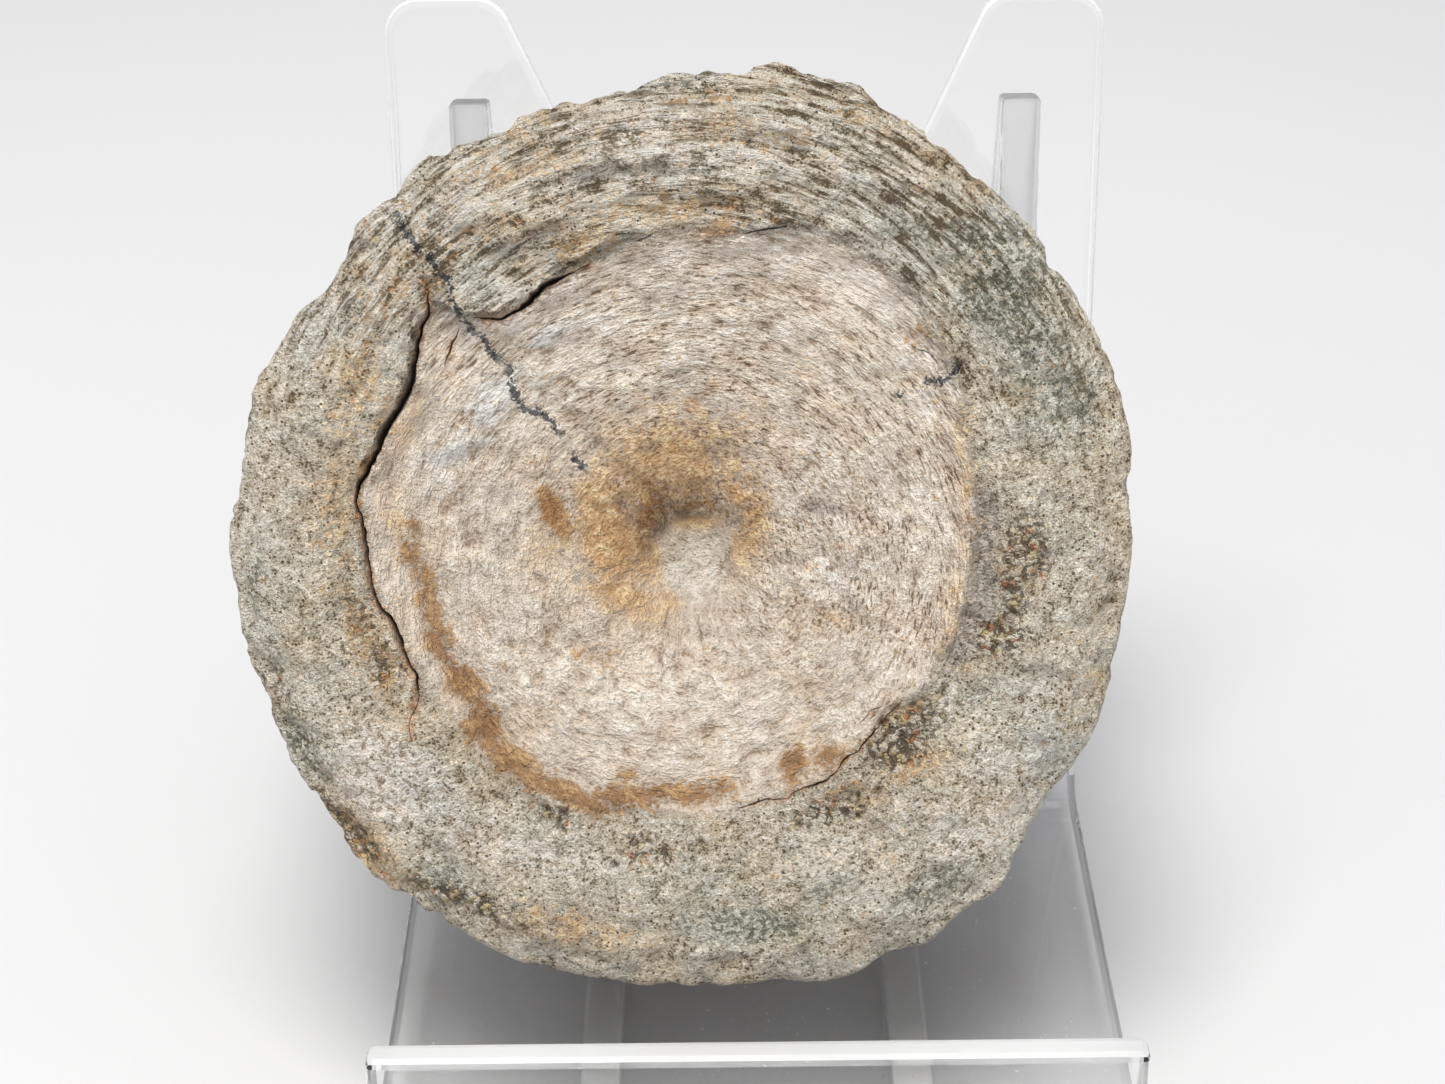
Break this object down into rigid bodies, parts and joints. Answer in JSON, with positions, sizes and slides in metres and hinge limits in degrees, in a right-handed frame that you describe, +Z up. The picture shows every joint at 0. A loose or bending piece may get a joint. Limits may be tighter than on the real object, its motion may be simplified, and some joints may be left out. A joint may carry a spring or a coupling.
{
  "type": "fossil ichthyosaur vertebra on a display stand",
  "caption": "Disc-shaped fossil ichthyosaur vertebra with a dished, pitted face and a scalloped rim, leaning on a clear bent easel stand with two prongs and a lipped shelf.",
  "frame": {"origin": "middle of the footprint of the whole object, on the surface it stands on", "axes": "+Z up, the fossil's dished face and the stand's lip towards -Y, +X to the right as seen from the front"},
  "size_m": [0.089, 0.093, 0.1015],
  "materials": {
    "fossil_bone": "matt mineralised bone, beige in the dish, grey and granular on the ring",
    "clear_sheet": "clear polished sheet"
  },
  "bodies": {
    "root": {"vertebra": "fossil_bone", "stand_panel": "clear_sheet", "rear_leg_left": "clear_sheet", "rear_leg_right": "clear_sheet", "shelf_rail_left": "clear_sheet", "shelf_rail_right": "clear_sheet"}
  },
  "joints": []
}
